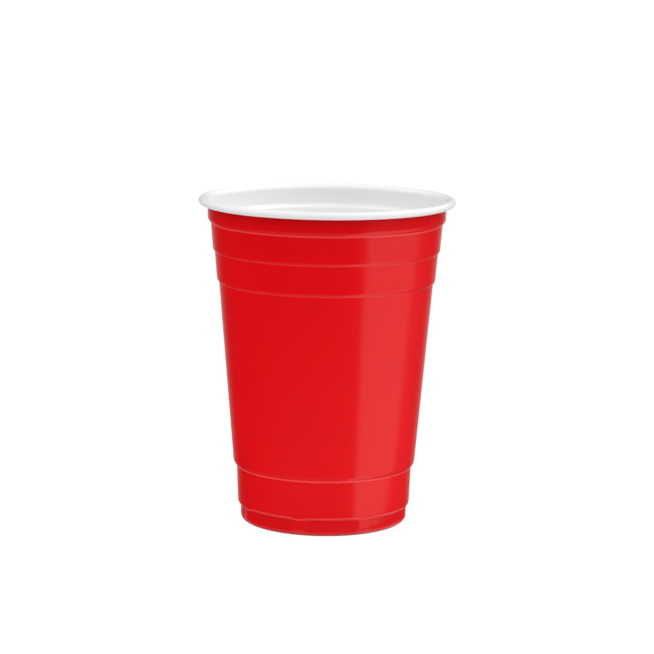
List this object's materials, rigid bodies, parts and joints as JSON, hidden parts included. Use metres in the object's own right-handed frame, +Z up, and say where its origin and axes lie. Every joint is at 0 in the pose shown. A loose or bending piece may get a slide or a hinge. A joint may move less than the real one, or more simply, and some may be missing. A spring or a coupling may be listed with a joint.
{
  "type": "plastic cup",
  "caption": "Tapered disposable drinking cup of one formed plastic sheet, with a rolled rim, stepped grip bands, a ribbed foot and a raised floor.",
  "frame": {"origin": "centre of the base, in the plane that the cup stands on", "axes": "+Z up along the cup's axis, towards the mouth; the picture looks along +Y"},
  "size_m": [0.095, 0.095, 0.1215],
  "materials": {
    "red_plastic": "glossy formed plastic, red outside with a white lining and rim"
  },
  "bodies": {
    "root": {"cup": "red_plastic"}
  },
  "joints": []
}
